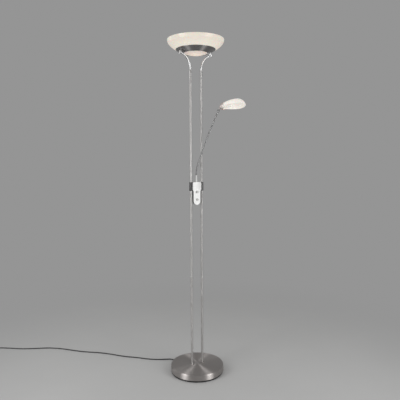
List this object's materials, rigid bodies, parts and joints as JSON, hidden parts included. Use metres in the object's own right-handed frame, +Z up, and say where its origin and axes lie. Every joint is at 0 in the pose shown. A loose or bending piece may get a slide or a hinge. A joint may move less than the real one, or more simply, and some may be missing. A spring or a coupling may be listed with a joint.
{
  "type": "floor lamp",
  "caption": "Uplighter floor lamp on twin slim poles with a round weighted base, a dimmer box between the poles and a flexible reading arm.",
  "frame": {"origin": "centre of the base on the floor, midway between the two poles", "axes": "+Z up; +X from the left pole to the right pole; -Y the front, where the knobs are"},
  "size_m": [1.3369, 1.0923, 1.8],
  "materials": {
    "felt": "felt",
    "black_steel": "satin black",
    "zinc_steel": "zinc plated",
    "iron": "painted casting",
    "brushed_cover": "circular brushed",
    "nickel": "satin nickel",
    "dark_nickel": "polished dark nickel",
    "bright_chrome": "polished",
    "cup_metal": "brushed dark nickel",
    "opal_glass": "gloss opal",
    "diffuser_glass": "frosted warm opal",
    "ceramic": "glazed ceramic",
    "clear_glass": "clear",
    "white_plastic": "gloss",
    "knob_plastic": "gloss",
    "grey_plastic": "matt",
    "black_plastic": "matt",
    "board": "printed circuit board",
    "wire_insulation": "matt",
    "cord_rubber": "matt",
    "shade_metal": "satin nickel",
    "shade_glass": "gloss opal",
    "pin_metal": "nickel plated"
  },
  "bodies": {
    "stand": {"floor_pad": "felt", "base_pan": "black_steel", "pan_screws": "zinc_steel", "base_weight": "iron", "base_cover": "brushed_cover", "pole_nuts": "zinc_steel", "cover_spacers": "zinc_steel", "left_pole": "nickel", "right_pole": "nickel", "mains_wire": "wire_insulation", "uplight_wire": "wire_insulation", "left_collar": "nickel", "right_collar": "nickel", "left_rod": "bright_chrome", "right_rod": "bright_chrome", "left_stud_spacer": "bright_chrome", "right_stud_spacer": "bright_chrome", "left_cap_nut": "bright_chrome", "right_cap_nut": "bright_chrome", "left_stud": "zinc_steel", "right_stud": "zinc_steel", "stud_nuts": "zinc_steel", "uplight_cup": "cup_metal", "glass_bowl": "opal_glass", "lower_diffuser": "diffuser_glass", "diffuser_ring": "zinc_steel", "lamp_bracket": "zinc_steel", "left_lampholder": "ceramic", "right_lampholder": "ceramic", "tube_lamp": "clear_glass", "control_housing": "white_plastic", "housing_cover": "black_plastic", "cover_screws": "zinc_steel", "left_pole_clamp": "dark_nickel", "right_pole_clamp": "dark_nickel", "clamp_screws": "zinc_steel", "uplight_dimmer": "black_plastic", "reading_dimmer": "black_plastic", "dimmer_board": "board", "arm_bush": "grey_plastic", "cord_gland": "cord_rubber", "terminal_block": "wire_insulation", "base_lead": "cord_rubber", "cord": "cord_rubber", "cord_coil": "cord_rubber", "plug_body": "black_plastic", "plug_pins": "pin_metal"},
    "arm": {"arm_ferrule": "grey_plastic", "arm_clip": "zinc_steel", "gooseneck": "bright_chrome"},
    "arm_tip": {"knuckle_fork": "bright_chrome", "knuckle_pin": "zinc_steel"},
    "reading_head": {"shade_holder": "shade_metal", "reading_shade": "shade_glass", "reading_lampholder": "ceramic", "capsule_lamp": "clear_glass"},
    "uplight_knob_set": {"uplight_knob": "knob_plastic", "uplight_shaft": "zinc_steel"},
    "reading_knob_set": {"reading_knob": "knob_plastic", "reading_shaft": "zinc_steel"}
  },
  "joints": [
    {"name": "arm_turn", "type": "hinge", "parent": "stand", "child": "arm", "pos_m": [0, 0, 1.0555], "axis": [0, 0, 1], "range_deg": [-115, 15]},
    {"name": "gooseneck_bend", "type": "hinge", "parent": "arm", "child": "arm_tip", "pos_m": [0.0475, -0.03985, 1.292], "axis": [0.6428, 0.766, 0], "range_deg": [-15, 60], "deforming": ["gooseneck"]},
    {"name": "head_tilt", "type": "hinge", "parent": "arm_tip", "child": "reading_head", "pos_m": [0.09341, -0.07838, 1.43401], "axis": [0.6428, 0.766, 0], "range_deg": [-35, 40]},
    {"name": "uplight_knob_turn", "type": "hinge", "parent": "stand", "child": "uplight_knob_set", "pos_m": [0, -0.008, 1.001], "axis": [0, -1, 0], "range_deg": [-135, 135]},
    {"name": "reading_knob_turn", "type": "hinge", "parent": "stand", "child": "reading_knob_set", "pos_m": [0, -0.008, 0.96], "axis": [0, -1, 0], "range_deg": [-135, 135]}
  ]
}
